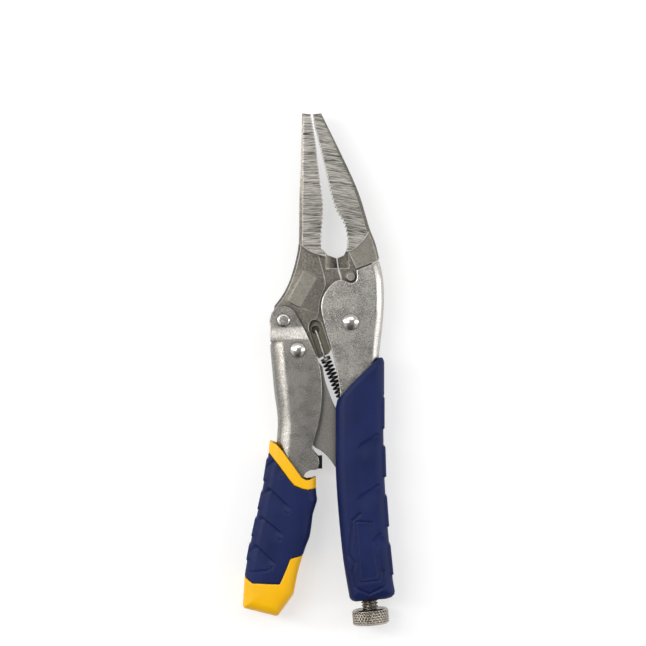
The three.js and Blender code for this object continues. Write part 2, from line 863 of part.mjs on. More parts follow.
// The lever grip's whole outer form, grown inwards by an inset, with no diagonal ends cut yet.
function leverGripForm(half, round, inset) {
  const outline = [
    [-36.6, -45],
    [-37.6, -60],
    [-39.7, -73],
    [-42.4, -86],
    [-45.4, -99],
    [-48.6, -116],
    [-49.5, -130.6],
    [-33.4, -134.8],
    [-26.2, -124.6],
    [-23.8, -113],
    [-20.6, -103],
    [-18.6, -97.5],
    [-17.3, -88],
    [-15.3, -81.5],
    [-15.9, -74],
    [-15.9, -45],
  ];
  return edgedPlate(outline, half, round, round, 3, inset);
}

const COLLAR_EDGE = [
  [-36.8, -54.4],
  [-33.8, -55.9],
  [-31.1, -58.9],
  [-27.8, -63.5],
  [-25.1, -67.2],
  [-22.2, -71.2],
  [-20.2, -72.2],
  [-18, -71.8],
  [-15.9, -70.8],
];
const SKIN_TOP = [
  [-50, -54],
  [-37.4, -59.6],
  [-32.4, -65.8],
  [-27.8, -72.2],
  [-25.8, -74.6],
  [-22, -76.1],
  [-19.6, -76.6],
  [-10, -75.2],
];
const SKIN_BOTTOM = [
  [-10, -105],
  [-27.6, -108],
  [-29.6, -113.2],
  [-32.4, -119.6],
  [-44.9, -119.1],
  [-48.5, -116.2],
  [-60, -112],
];

// The band of the grip that the blue skin covers, shrunk at both ends by a gap.
const skinBand = (gap) => through([...moved(SKIN_TOP, 0, -gap), ...moved(SKIN_BOTTOM, 0, gap)]);

const releasePinHole = () => pinHole(RELEASE_PIVOT, RELEASE_PIN_RADIUS, SMALL_CIRCLE_STEPS);

function gripCore() {
  const cavity = plate(
    [
      [-35.3, -40],
      [-35.3, -54],
      [-36, -60],
      [-38, -73],
      [-40.2, -86],
      [-41.5, -102],
      [-23.6, -102],
      [-20.4, -86],
      [-18.2, -76],
      [-18.2, -40],
    ],
    -CORE_CAVITY_HALF,
    CORE_CAVITY_HALF,
  );
  const whole = leverGripForm(GRIP_HALF, GRIP_ROUND, 0);
  const underSkin = leverGripForm(CORE_HALF, GRIP_ROUND - SKIN, SKIN);
  const aboveCollar = through([[-60, -52], ...COLLAR_EDGE, [0, -70], [0, 20], [-60, 20]]);
  return cut(join(whole.subtract(skinBand(0)), underSkin), aboveCollar, cavity, releasePinHole());
}

function leverGrip() {
  const blockEnds = [
    [[-38, -62.5], [-39.6, -72.5]],
    [[-40.5, -77.7], [-42.2, -85.4]],
    [[-43.3, -89.9], [-45, -97.8]],
    [[-46, -101.7], [-47.3, -108.8]],
  ];
  const form = join(leverGripForm(GRIP_HALF, GRIP_ROUND, 0), ...blocks(blockEnds, -1));
  const under = leverGripForm(CORE_HALF + FACE_GAP, GRIP_ROUND - SKIN, SKIN - FACE_GAP);
  return form.intersect(skinBand(FACE_GAP)).subtract(under);
}

// The black lever inside the channel: a finger past the rim, and a leg down to the release pin.
function releaseArm() {
  const outline = [
    [-13, -61.2],
    [-13, -67.3],
    [-19.6, -67.3],
    [-22.8, -70.5],
    [-23.4, -78],
    [-23.6, -84],
    [-31.8, -84],
    [-31.6, -72],
    [-29, -62],
    [-25, -61.4],
    [-14.4, -61.4],
  ];
  return cut(plate(outline, -ARM_HALF, ARM_HALF), releasePinHole());
}

// ---------------------------------------------------------------- assembly

const screwGroup = new THREE.Group();
screwGroup.position.set(LINK_END[0], LINK_END[1], 0);
screwGroup.rotation.z = SCREW_TILT;
pieces.add(screwGroup);

piece("fixed_jaw", fixedJaw(), GROUND_STEEL);
piece("movable_jaw", movableJaw(), GROUND_STEEL);
piece("main_handle", mainHandle(), NICKEL);
piece("lever_handle", leverHandle(), NICKEL);
piece("toggle_link", toggleLink(), DARK_STEEL);
piece("link_spacer_top", linkSpacer(1), NICKEL);
piece("link_spacer_bottom", linkSpacer(-1), NICKEL);
piece("jaw_pivot_rivet", rivet(JAW_PIVOT, PIVOT_SHANK, PIVOT_HEAD, BODY_HALF + FACE_GAP, PIVOT_DOME), NICKEL);
piece(
  "lever_pivot_rivet",
  rivet(LEVER_PIVOT, LEVER_RIVET_SHANK, LEVER_RIVET_HEAD, EAR_HALF + FACE_GAP, LEVER_RIVET_RISE),
  NICKEL,
);
piece(
  "link_pivot_rivet",
  rivet(LINK_PIVOT, LINK_RIVET_SHANK, LINK_RIVET_HEAD, LEVER_HALF + FACE_GAP, PIVOT_DOME),
  NICKEL,
);
piece("opening_spring", openingSpring(), SPRING_BLACK);
piece(
  "spring_anchor_pin",
  disc(ANCHOR_PIN, ANCHOR_PIN_RADIUS, -BODY_HALF, BODY_HALF, SMALL_CIRCLE_STEPS),
  NICKEL,
);
piece("thread_collar", threadCollar(), NICKEL);
piece("screw_nose", screwNose(), NICKEL, screwGroup);
piece("adjusting_screw", adjustingScrew(), NICKEL, screwGroup);
piece("main_grip", mainGrip(), BLUE);
piece("grip_core", gripCore(), YELLOW);
piece("lever_grip", leverGrip(), BLUE);
piece("release_arm", releaseArm(), SPRING_BLACK);
piece(
  "release_pin",
  disc(RELEASE_PIVOT, RELEASE_PIN_RADIUS, FACE_GAP - CORE_HALF, CORE_HALF - FACE_GAP, SMALL_CIRCLE_STEPS),
  NICKEL,
);

// The part's origin is on the surface it lies on, under the middle of the tool.
const box = new THREE.Box3().setFromObject(pieces, true);
pieces.position.set(-(box.min.x + box.max.x) / 2, -(box.min.y + box.max.y) / 2, -box.min.z);

const pliers = new THREE.Group();
pliers.add(pieces);

export default pliers;
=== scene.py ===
import json
import math

import bpy
import numpy as np
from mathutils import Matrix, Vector


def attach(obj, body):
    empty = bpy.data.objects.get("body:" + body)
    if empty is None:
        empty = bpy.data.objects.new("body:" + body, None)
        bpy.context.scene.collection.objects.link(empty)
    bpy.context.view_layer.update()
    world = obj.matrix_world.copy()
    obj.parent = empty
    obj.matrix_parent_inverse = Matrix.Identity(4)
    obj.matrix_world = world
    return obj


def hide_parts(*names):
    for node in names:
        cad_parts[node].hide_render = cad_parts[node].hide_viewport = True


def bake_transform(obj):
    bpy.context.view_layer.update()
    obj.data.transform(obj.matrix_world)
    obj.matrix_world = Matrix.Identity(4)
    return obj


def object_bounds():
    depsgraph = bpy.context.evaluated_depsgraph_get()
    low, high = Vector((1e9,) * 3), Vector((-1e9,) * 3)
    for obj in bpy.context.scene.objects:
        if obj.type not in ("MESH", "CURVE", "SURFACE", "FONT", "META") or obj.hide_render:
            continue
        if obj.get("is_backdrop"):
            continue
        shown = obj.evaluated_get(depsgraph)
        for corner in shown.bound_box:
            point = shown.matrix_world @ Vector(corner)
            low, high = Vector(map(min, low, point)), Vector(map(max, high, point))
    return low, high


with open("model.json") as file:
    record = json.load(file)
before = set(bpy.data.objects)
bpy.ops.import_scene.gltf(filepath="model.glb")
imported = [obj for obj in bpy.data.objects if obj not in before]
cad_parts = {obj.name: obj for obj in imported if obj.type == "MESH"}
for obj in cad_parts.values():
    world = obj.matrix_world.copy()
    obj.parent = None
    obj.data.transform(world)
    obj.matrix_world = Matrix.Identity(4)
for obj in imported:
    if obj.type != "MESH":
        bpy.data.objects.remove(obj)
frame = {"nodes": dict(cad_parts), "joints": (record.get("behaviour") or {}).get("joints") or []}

# Long-nose locking pliers, lying flat. Plan places are in millimetres from the jaw pivot, as in the
# CAD model: +X to the fixed jaw's side, +Y to the tips, and heights from the tool's middle plane.

MM = 0.001
CAD_LOW, CAD_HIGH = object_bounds()
JOINTS = {joint["name"]: joint for joint in frame["joints"]}
NODES = frame["nodes"]
PIVOT = np.array(JOINTS["jaw_hinge"]["pos_m"])

GRIP_HALF = 11.5  # the grips' half thickness
GRIP_ROUND = 4.6  # the radius along their edges
SKIN = 1.3  # the blue skin's thickness over the yellow core

ARC_CENTRE = (-9.4, 49.5)  # of the arc where the jaws' ground noses end
ARC_RADIUS = 19.4
LEVER_PIVOT = (-30.7, 0.8)
LINK_PIVOT = (-24.2, -12.7)
LINK_END = (4.1, -73.8)  # where the link bears on the screw
HOOK_HOLE = (-16.1, -3.7)
COIL_TOP = (-11.7, -16.4)
COIL_BOTTOM = (-3.1, -37)
ANCHOR_PIN = (-0.7, -42.6)
PAD_HEIGHT = 5.8  # above this, the forged steel is the plain pad
POCKET_HEIGHT = 5.2  # below this, it is the spring's pocket


def row(points):
    """Plan places in millimetres as places in the row frame, in metres."""
    return PIVOT + np.asarray(points, float) * MM


# ---------------------------------------------------------------- camera and lights

CAMERA_AIM = (0.0020, 0.0214)  # from the middle of the CAD box, in plan
VIEW_WIDTH = 0.297  # at the tool's middle plane
CAMERA_HEIGHT = 1.32
SENSOR = 36.0
LIGHTS = (  # name, place, size, watts and colour
    ("left", (-0.60, 0.16, 0.78), (0.2, 1.0), 6.2, (1.0, 0.99, 0.97)),
    ("right", (0.66, 0.05, 0.42), (0.2, 0.9), 2.0, (0.98, 0.99, 1.0)),
    ("beyond", (-0.02, 0.47, 1.05), (0.9, 0.2), 2.4, (1.0, 1.0, 1.0)),
)
SHEET_SIZE = 8
SHEET_HEIGHT = -0.0002  # just under the tool


def camera():
    """Straight above the tool, a long way off."""
    data = bpy.data.cameras.new("camera")
    data.sensor_width = SENSOR
    data.lens = SENSOR * (CAMERA_HEIGHT - PIVOT[2]) / VIEW_WIDTH
    data.clip_end = 20
    middle = (CAD_LOW + CAD_HIGH) / 2
    made = bpy.data.objects.new("camera", data)
    made.location = (middle.x + CAMERA_AIM[0], middle.y + CAMERA_AIM[1], CAMERA_HEIGHT)
    bpy.context.scene.collection.objects.link(made)
    bpy.context.scene.camera = made


def area_light(name, place, size, power, color):
    """A rectangle of light that faces the middle of the floor."""
    data = bpy.data.lights.new(name, "AREA")
    data.shape = "RECTANGLE"
    data.size, data.size_y = size
    data.energy = power
    data.color = color
    made = bpy.data.objects.new(name, data)
    made.location = place
    made.rotation_euler = (-Vector(place)).to_track_quat("-Z", "Y").to_euler()
    bpy.context.scene.collection.objects.link(made)


# ---------------------------------------------------------------- materials


class Nodes:
    """Short ways to add shader nodes to a tree."""

    def __init__(self, tree):
        self.tree = tree

    def add(self, kind, inputs=None, **settings):
        node = self.tree.nodes.new("ShaderNode" + kind)
        for name, value in settings.items():
            setattr(node, name, value)
        for name, value in (inputs or {}).items():
            if isinstance(value, bpy.types.NodeSocket):
                self.tree.links.new(value, node.inputs[name])
            else:
                node.inputs[name].default_value = value
        return node

    def math(self, operation, first, second=0.0, clamp=False):
        return self.add("Math", {0: first, 1: second}, operation=operation, use_clamp=clamp).outputs[0]

    def vector(self, operation, first, second=(0, 0, 0)):
        node = self.add("VectorMath", {0: first, 1: second}, operation=operation)
        return node.outputs["Value" if operation in ("LENGTH", "DOT_PRODUCT") else "Vector"]

    def parts(self, vector):
        return self.add("SeparateXYZ", {0: vector}).outputs

    def remap(self, value, low, high, to_low=0.0, to_high=1.0, soft=False):
        """A value's range stretched to another one, and clamped to it."""
        inputs = {"Value": value, "From Min": low, "From Max": high, "To Min": to_low, "To Max": to_high}
        kind = "SMOOTHSTEP" if soft else "LINEAR"
        return self.add("MapRange", inputs, interpolation_type=kind).outputs[0]


class Look(Nodes):
    """A procedural material: a Principled shader and the nodes that feed it."""

    def __init__(self, name, color, metallic, roughness, **sockets):
        self.material = bpy.data.materials.new(name)
        self.material.use_nodes = True
        super().__init__(self.material.node_tree)
        self.shader = self.tree.nodes["Principled BSDF"]
        self.shader.inputs["Base Color"].default_value = (*color, 1)
        self.shader.inputs["Metallic"].default_value = metallic
        self.shader.inputs["Roughness"].default_value = roughness
        for socket, value in sockets.items():
            self.shader.inputs[socket.replace("_", " ")].default_value = value
        self.place = self.add("TexCoord").outputs["Object"]
        self.normal = None

    def stretched(self, lengths_mm, turn):
        """The piece's own coordinates, turned about Z in degrees, with one unit to each length."""
        scale = tuple(1 / (length * MM) for length in lengths_mm)
        spin = (0, 0, math.radians(turn))
        turned_first = self.add("Mapping", {"Vector": self.place, "Rotation": spin}).outputs[0]
        return self.vector("MULTIPLY", turned_first, scale)

    def noise(self, size_mm, detail, roughness=0.5):
        """Noise with patches of about that size."""
        scale = 1 / (size_mm * MM)
        inputs = {"Vector": self.place, "Scale": scale, "Detail": detail, "Roughness": roughness}
        return self.add("TexNoise", inputs).outputs["Fac"]

    def strokes(self, lengths_mm, turn):
        """Noise drawn out into brushed lines."""
        inputs = {"Vector": self.stretched(lengths_mm, turn), "Scale": 1.0, "Detail": 3.0, "Roughness": 0.6}
        return self.add("TexNoise", inputs).outputs["Fac"]

    def bump(self, height, depth_mm):
        """Adds relief on top of any added before."""
        inputs = {"Height": height, "Distance": depth_mm * MM, "Strength": 1.0}
        if self.normal is not None:
            inputs["Normal"] = self.normal
        self.normal = self.add("Bump", inputs).outputs[0]

    def mix(self, share, first, second):
        """Colour between two: each is a colour or a socket."""
        node = self.add("Mix", data_type="RGBA")
        for socket, value in ((node.inputs[0], share), (node.inputs[6], first), (node.inputs[7], second)):
            if isinstance(value, bpy.types.NodeSocket):
                self.tree.links.new(value, socket)
            elif isinstance(value, tuple):
                socket.default_value = (*value, 1)
            else:
                socket.default_value = value
        return node.outputs[2]

    def edges(self, width_mm):
        """1 on outer edges, 0 on flat faces: where the materials paint an edge highlight."""
        flat, full = 0.998, 0.92  # how far the rounded normal still agrees with the face's own
        round_normal = self.add("Bevel", {"Radius": width_mm * MM}, samples=6).outputs[0]
        flat_normal = self.add("NewGeometry").outputs["Normal"]
        return self.remap(self.vector("DOT_PRODUCT", round_normal, flat_normal), flat, full)

    def crevices(self, reach_mm):
        """1 in the open, falling to 0 deep in corners."""
        return self.add("AmbientOcclusion", {"Distance": reach_mm * MM}, samples=6).outputs["AO"]

    def near_line(self, start, end, reach_mm, fade_mm):
        """1 within reach of a plan line, fading to 0."""
        a, b = Vector((*start, 0)) * MM, Vector((*end, 0)) * MM
        along = b - a
        origin = Vector(PIVOT) + a
        flat = self.vector("MULTIPLY", self.vector("SUBTRACT", self.place, tuple(origin)), (1, 1, 0))
        reached = self.vector("DOT_PRODUCT", flat, tuple(along))
        share = self.math("DIVIDE", reached, along.length_squared, clamp=True)
        nearest = self.add("VectorMath", {0: tuple(along), "Scale": share}, operation="SCALE").outputs[0]
        away = self.vector("LENGTH", self.vector("SUBTRACT", flat, nearest))
        return self.remap(away, reach_mm * MM, (reach_mm + fade_mm) * MM, 1.0, 0.0, soft=True)

    def height(self):
        """How far from the tool's middle plane, in metres."""
        return self.math("ABSOLUTE", self.math("SUBTRACT", self.parts(self.place)["Z"], PIVOT[2]))

    def shaded_in_corners(self, base, reach_mm, deep, clear, most, color):
        """Painted shade: a colour mixed in where corners are deep, and nothing where they are clear."""
        return self.mix(self.remap(self.crevices(reach_mm), deep, clear, most, 0.0), base, color)

    def done(self, base, roughness=None, *reliefs):
        """The material, with its colour, roughness and each relief's (height, depth in mm)."""
        self.tree.links.new(base, self.shader.inputs["Base Color"])
        if roughness is not None:
            self.tree.links.new(roughness, self.shader.inputs["Roughness"])
        for height, depth_mm in reliefs:
            self.bump(height, depth_mm)
        if self.normal is not None:
            self.tree.links.new(self.normal, self.shader.inputs["Normal"])
        return self.material


def shade(color, factor):
    """A colour made lighter or darker."""
    return tuple(min(1.0, part * factor) for part in color)


FINER = 0.45  # the second grain of plated steel, as a share of the first
GROUND_DARK, GROUND_LIGHT = (0.045, 0.042, 0.036), (0.42, 0.404, 0.37)
FORGED_DARK, FORGED_LIGHT = (0.1, 0.092, 0.078), (0.25, 0.234, 0.202)
FORGED_STAIN = (0.12, 0.111, 0.096)
PAD_LIGHT = (0.42, 0.396, 0.345)
# painted highlight for the jaws' chamfered edges
EDGE_HIGHLIGHT = (0.78, 0.755, 0.715)
# an olive-brown tone for the spring's pocket
POCKET_OLIVE = (0.17, 0.158, 0.118)
# painted shade for the jaws' deep corners
CORNER_SHADE = (0.05, 0.046, 0.04)


def steel(name, color, roughness, grain_mm, grain_depth, contrast=1.0):
    """Plated steel with a sandy grain, painted shade in its corners, and a painted highlight along its edges,
    where the plating is also rubbed smoother.
    """
    look = Look(name, color, 1.0, roughness)
    cloud, grain = look.noise(7, 3), look.noise(grain_mm, 3, 0.6)
    fine = look.noise(grain_mm * FINER, 2, 0.6)
    speckle = look.mix(look.remap(grain, 0.36, 0.64), shade(color, 0.55), shade(color, 1.42))
    base = look.mix(look.remap(cloud, 0.35, 0.65, contrast * 0.75, contrast), color, speckle)
    # painted highlight along the edges, where the plating is also rubbed and less rough
    wear_and_highlight = look.edges(0.6)
    base = look.mix(wear_and_highlight, base, shade(color, 1.7))
    # painted shade deep in corners
    base = look.shaded_in_corners(base, 3, 0.3, 0.9, 0.8, shade(color, 0.2))
    rough = look.remap(look.math("ADD", cloud, fine), 0.7, 1.3, roughness - 0.05, roughness + 0.08)
    rough = look.math("MULTIPLY", rough, look.remap(wear_and_highlight, 0, 1, 1.0, 0.75))
    return look.done(base, rough, (grain, grain_depth), (fine, grain_depth * FINER))


def jaw_steel(name, turn):
    """Forged behind the grinding arc, and ground across the nose in front, its lines turned in degrees."""
    look = Look(name, GROUND_LIGHT, 1.0, 0.4)
    apart = look.vector("SUBTRACT", look.place, tuple(row([*ARC_CENTRE, 0])))
    reach = look.vector("LENGTH", look.vector("MULTIPLY", apart, (1, 1, 0)))
    within = look.math("LESS_THAN", reach, ARC_RADIUS * MM)
    nose = look.math("MAXIMUM", within, look.math("GREATER_THAN", look.parts(apart)["Y"], 0.0))
    facing = look.math("ABSOLUTE", look.parts(look.add("NewGeometry").outputs["Normal"])["Z"])
    ground = look.math("MULTIPLY", nose, look.math("GREATER_THAN", facing, 0.95))

    fine, coarse = look.strokes((6, 0.34, 6), turn), look.strokes((14, 0.9, 14), turn + 2)
    lines = look.math("ADD", look.math("MULTIPLY", fine, 0.62), look.math("MULTIPLY", coarse, 0.38))
    scratched = look.mix(look.remap(lines, 0.39, 0.61), GROUND_DARK, GROUND_LIGHT)
    forged, cloud = look.noise(0.95, 4, 0.65), look.noise(6, 3)
    plain = look.mix(look.remap(forged, 0.36, 0.64), FORGED_DARK, FORGED_LIGHT)
    plain = look.mix(look.remap(cloud, 0.35, 0.65, 0, 0.4), plain, FORGED_STAIN)
    raised = look.math("GREATER_THAN", look.height(), PAD_HEIGHT * MM)
    pad = look.math("MULTIPLY", raised, look.math("SUBTRACT", 1, nose))
    plain = look.mix(look.math("MULTIPLY", pad, 0.3), plain, PAD_LIGHT)
    base = look.mix(ground, plain, scratched)
    # painted highlight along the edges
    base = look.mix(look.edges(0.55), base, EDGE_HIGHLIGHT)
    # an olive-brown tone over the spring's pocket
    sunk = look.math("LESS_THAN", look.height(), POCKET_HEIGHT * MM)
    pocket = look.math("MULTIPLY", look.near_line(HOOK_HOLE, COIL_TOP, 3.0, 0.8), sunk)
    base = look.mix(look.math("MULTIPLY", pocket, 0.75), base, POCKET_OLIVE)
    # painted shade deep in corners
    base = look.shaded_in_corners(base, 2.5, 0.3, 0.9, 0.85, CORNER_SHADE)
    relief = look.add("Mix", {0: ground, 2: forged, 3: lines}).outputs[0]
    return look.done(base, look.remap(lines, 0.35, 0.65, 0.3, 0.46), (relief, 0.045))


def rubber():
    """Blue moulded grip: finely textured, with painted shade in its grooves and a painted highlight on its
    ridges.
    """
    look = Look("blue_grip", (0.007, 0.016, 0.09), 0.0, 0.5, Specular_IOR_Level=0.18)
    cloud, grain = look.noise(14, 3), look.noise(0.45, 3, 0.6)
    base = look.mix(look.remap(cloud, 0.35, 0.65), (0.0022, 0.0072, 0.05), (0.005, 0.0118, 0.07))
    base = look.mix(look.remap(grain, 0.3, 0.7, 0.0, 0.25), base, (0.016, 0.03, 0.13))
    # painted highlight along the edges
    base = look.mix(look.math("MULTIPLY", look.edges(0.8), 0.5), base, (0.05, 0.072, 0.21))
    # painted shade in the grooves
    base = look.shaded_in_corners(base, 1.6, 0.5, 0.96, 1.0, (0.002, 0.004, 0.018))
    rough = look.remap(look.math("ADD", cloud, grain), 0.7, 1.3, 0.42, 0.62)
    return look.done(base, rough, (grain, 0.035))


def yellow_plastic():
    """Yellow moulding: finely textured, with a painted highlight on its ridges and painted shade, browner, in
    its corners.
    """
    look = Look("yellow_core", (0.92, 0.51, 0.002), 0.0, 0.38, Specular_IOR_Level=0.3)
    cloud, grain = look.noise(16, 3), look.noise(0.6, 3, 0.6)
    base = look.mix(look.remap(cloud, 0.35, 0.65), (0.79, 0.41, 0.001), (0.84, 0.45, 0.001))
    # painted highlight along the edges
    base = look.mix(look.math("MULTIPLY", look.edges(0.8), 0.3), base, (0.97, 0.62, 0.03))
    # painted shade deep in corners
    base = look.shaded_in_corners(base, 1.5, 0.4, 0.92, 0.8, (0.25, 0.11, 0.002))
    rough = look.remap(look.math("ADD", cloud, grain), 0.7, 1.3, 0.3, 0.46)
    return look.done(base, rough, (grain, 0.015))


def black_plastic():
    """Black moulding, with a painted highlight, a little greyer, along its edges."""
    look = Look("black_arm", (0.012, 0.012, 0.013), 0.0, 0.5, Specular_IOR_Level=0.2)
    grain = look.noise(0.5, 3)
    base = look.mix(look.remap(grain, 0.3, 0.7), (0.008, 0.008, 0.009), (0.02, 0.02, 0.021))
    # painted highlight along the edges
    base = look.mix(look.math("MULTIPLY", look.edges(0.3), 0.5), base, (0.06, 0.06, 0.063))
    return look.done(base, look.remap(grain, 0.3, 0.7, 0.43, 0.6), (grain, 0.03))


def spring_wire():
    """Black oiled coil, with a painted highlight, pale, along its straight leg and closed end turns."""
    look = Look("spring_wire", (0.03, 0.029, 0.028), 0.9, 0.3)
    drawn = look.noise(0.6, 3)
    oiled = look.mix(look.remap(drawn, 0.3, 0.7), (0.014, 0.0135, 0.013), (0.055, 0.052, 0.049))
    # painted highlight along the straight leg
    leg_highlight = look.mix(look.remap(drawn, 0.3, 0.7), (0.5, 0.485, 0.46), (0.72, 0.7, 0.67))
    base = look.mix(look.near_line(HOOK_HOLE, COIL_TOP, 1.5, 0.9), oiled, leg_highlight)
    return look.done(base, look.remap(drawn, 0.3, 0.7, 0.22, 0.4), (drawn, 0.012))


def paper():
    """The white sheet that the tool lies on, lit a little from below."""
    glow = {"Emission_Color": (1, 1, 1, 1), "Emission_Strength": 0.55}
    look = Look("floor", (0.45, 0.45, 0.45), 0.0, 0.8, **glow)
    return look.done(look.mix(look.noise(60, 3), (0.44, 0.44, 0.44), (0.46, 0.46, 0.46)))


def materials():
    """Every look. A steel's numbers are its roughness, its grain and the grain's depth in millimetres."""
    return {
        "main": steel("nickel_plate", (0.46, 0.442, 0.41), 0.27, 0.45, 0.02),
        # the lever's plate: the same nickel in a darker tone
        "lever": steel("nickel_plate_darker", (0.3, 0.287, 0.265), 0.27, 0.45, 0.02),
        "fixed": jaw_steel("fixed_jaw_steel", 9),
        "movable": jaw_steel("movable_jaw_steel", -3),
        "link": steel("link_plate", (0.215, 0.205, 0.19), 0.42, 0.6, 0.02, contrast=0.45),
        "rivet": steel("rivet_steel", (0.62, 0.6, 0.56), 0.2, 1.2, 0.015, contrast=0.4),
        "screw": steel("screw_steel", (0.35, 0.32, 0.275), 0.2, 0.6, 0.012),
        "spring": spring_wire(),
        "blue": rubber(),
        "yellow": yellow_plastic(),
        "black": black_plastic(),
        "floor": paper(),
    }


def sky():
    """A studio: dim behind the camera and over the grips, bright to both sides and beyond the tips."""
    world = bpy.data.worlds.new("studio")
    world.use_nodes = True
    nodes = Nodes(world.node_tree)
    x, y, z = nodes.parts(nodes.add("TexCoord").outputs["Generated"])[:]
    sides = nodes.remap(nodes.math("ABSOLUTE", x), 0.25, 0.7, 0, 0.55, soft=True)
    beyond = nodes.remap(y, 0.15, 0.6, 0, 0.45, soft=True)
    near = nodes.remap(y, -0.6, -0.05, -0.16, 0, soft=True)
    light = nodes.math("ADD", nodes.math("MAXIMUM", sides, beyond), nodes.math("ADD", near, 0.24))
    background = world.node_tree.nodes["Background"]
    background.inputs["Color"].default_value = (1, 1, 1, 1)
    level = nodes.remap(z, -0.02, 0.16, 0.5, 1.0, soft=True)
    world.node_tree.links.new(nodes.math("MULTIPLY", light, level), background.inputs["Strength"])
    bpy.context.scene.world = world


# ---------------------------------------------------------------- meshes


def new_piece(name, points, faces, look, body, *nodes, slot):
    """A smooth-shaded mesh from points in the row frame, riding on a body, with the CAD nodes that it stands
    for hidden.
    """
    mesh = bpy.data.meshes.new(name)
    kept_in = np.clip(points, np.array(CAD_LOW), np.array(CAD_HIGH))
    mesh.from_pydata(kept_in.tolist(), [], faces)
    mesh.shade_smooth()
    made = bpy.data.objects.new(name, mesh)
    bpy.context.scene.collection.objects.link(made)
    mesh.materials.append(look)
    if body:
        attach(made, body)
    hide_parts(*nodes)
    return made


def smooth(points, steps):
    """A Catmull-Rom line through the points, with that many steps in each span."""
    p = np.asarray(points, float)
    p = np.vstack([p[0], p, p[-1]])
    t = np.linspace(0, 1, steps, endpoint=False)[:, None]
    spans = []
    for a, b, c, d in zip(p[:-3], p[1:-2], p[2:-1], p[3:]):
        curve, twist = 2 * a - 5 * b + 4 * c - d, 3 * b - a - 3 * c + d
        spans.append(0.5 * (2 * b + (c - a) * t + curve * t**2 + twist * t**3))
    return np.vstack([*spans, p[-1:]])


def around(rings, sides):
    """Quads over rings of points, joined up round each ring."""
    i, j = np.meshgrid(np.arange(rings - 1), np.arange(sides), indexing="ij")
    k = (j + 1) % sides
    corners = [i * sides + j, i * sides + k, (i + 1) * sides + k, (i + 1) * sides + j]
    return np.stack(corners, -1).reshape(-1, 4)


def tube(path, radius, sides):
    """A round bar along a line of [x, y, z] points, with flat ends."""
    p = np.asarray(path, float)
    along = np.gradient(p, axis=0)
    along /= np.linalg.norm(along, axis=1)[:, None]
    across = np.cross(along[0], [0.3, 0.2, 1])
    across /= np.linalg.norm(across)
    angle = np.linspace(0, 2 * np.pi, sides, endpoint=False)
    rings = []
    for place, heading in zip(p, along):
        across = across - heading * (across @ heading)
        across /= np.linalg.norm(across)
        other = np.cross(heading, across)
        round_it = np.outer(np.cos(angle), across) + np.outer(np.sin(angle), other)
        rings.append(place + radius * round_it)
    faces = around(len(p), sides).tolist()
    last = (len(p) - 1) * sides
    faces.append(list(range(sides))[::-1])
    faces.append([last + i for i in range(sides)])
    return np.vstack(rings), faces


def ring_mesh(radius, height, ends):
    """A solid from rows of radii round the Z axis, each row's height and the heights of its two ends."""
    rings, sides = radius.shape
    angle = np.linspace(0, 2 * np.pi, sides, endpoint=False)
    heights = np.repeat(height[:, None], sides, 1)
    points = np.stack([radius * np.cos(angle), radius * np.sin(angle), heights], -1)
    faces = around(rings, sides).tolist()
    last = rings * sides
    for i in range(sides):
        j = (i + 1) % sides
        faces.append([last, j, i])
        faces.append([last + 1, last - sides + i, last - sides + j])
    return np.vstack([points.reshape(-1, 3), [[0, 0, end] for end in ends]]), faces


def turned(profile, sides):
    """A body turned about the Z axis, from [radius, height] rows that start and end on it."""
    radius, height = np.asarray(profile, float)[1:-1].T
    return ring_mesh(np.repeat(radius[:, None], sides, 1), height, (profile[0][1], profile[-1][1]))


# ---------------------------------------------------------------- moulded forms, as signed distances

CROWN = 0.4  # how much thinner a grip is at its edges than along its middle
BLOCK_HALF, BLOCK_ROUND = 9.4, 1.0  # of the blocks along each grip's outer edge
MAIN_CELL, LEVER_CELL = 0.415, 0.33  # of the grids that the grips are drawn on


def outline_distance(points, x, y):
    """Distance in plan from a closed outline, negative inside."""
    a = np.asarray(points, float)
    nearest = np.full(x.shape, np.inf)
    inside = np.zeros(x.shape, bool)
    for (ax, ay), (bx, by) in zip(a, np.roll(a, -1, axis=0)):
        ex, ey = bx - ax, by - ay
        length = ex * ex + ey * ey
        if length < 1e-12:
            continue
        t = np.clip(((x - ax) * ex + (y - ay) * ey) / length, 0, 1)
        nearest = np.minimum(nearest, (x - ax - t * ex) ** 2 + (y - ay - t * ey) ** 2)
        if ey:
            inside ^= ((ay > y) != (by > y)) & (x < ax + ex * (y - ay) / ey)
    return np.where(inside, -1, 1) * np.sqrt(nearest)


def line_places(start, end, x, y):
    """How far along a line each place is, as a share of it, and how far to its left."""
    (ax, ay), (bx, by) = start, end
    length = math.hypot(bx - ax, by - ay)
    ex, ey = (bx - ax) / length, (by - ay) / length
    return ((x - ax) * ex + (y - ay) * ey) / length, (y - ay) * ex - (x - ax) * ey


def ramp(value, low, high):
    """0 below low and 1 above high, eased between them."""
    t = np.clip((value - low) / (high - low), 0, 1)
    return t * t * (3 - 2 * t)


def rounded(plan, z, half, edge):
    """An outline's plan distances, thickened to a plate about the middle plane with round edges."""
    out = plan[..., None] + edge
    up = np.abs(z) - half + edge
    return np.minimum(np.maximum(out, up), 0) + np.hypot(np.maximum(out, 0), np.maximum(up, 0)) - edge


def crowned(plan, z):
    """A grip's rounded form, slightly fuller along its middle."""
    return rounded(plan, z + CROWN * ramp(plan, -9, -2)[..., None], GRIP_HALF, GRIP_ROUND)


def soft_join(a, b, blend=0.6):
    """What is inside either, with the corner between them filled."""
    share = np.clip(0.5 + 0.5 * (b - a) / blend, 0, 1)
    return b + (a - b) * share - blend * share * (1 - share)


def soft_cut(a, b, blend):
    """What is inside both, with the edge between them eased."""
    return -soft_join(-a, -b, blend)


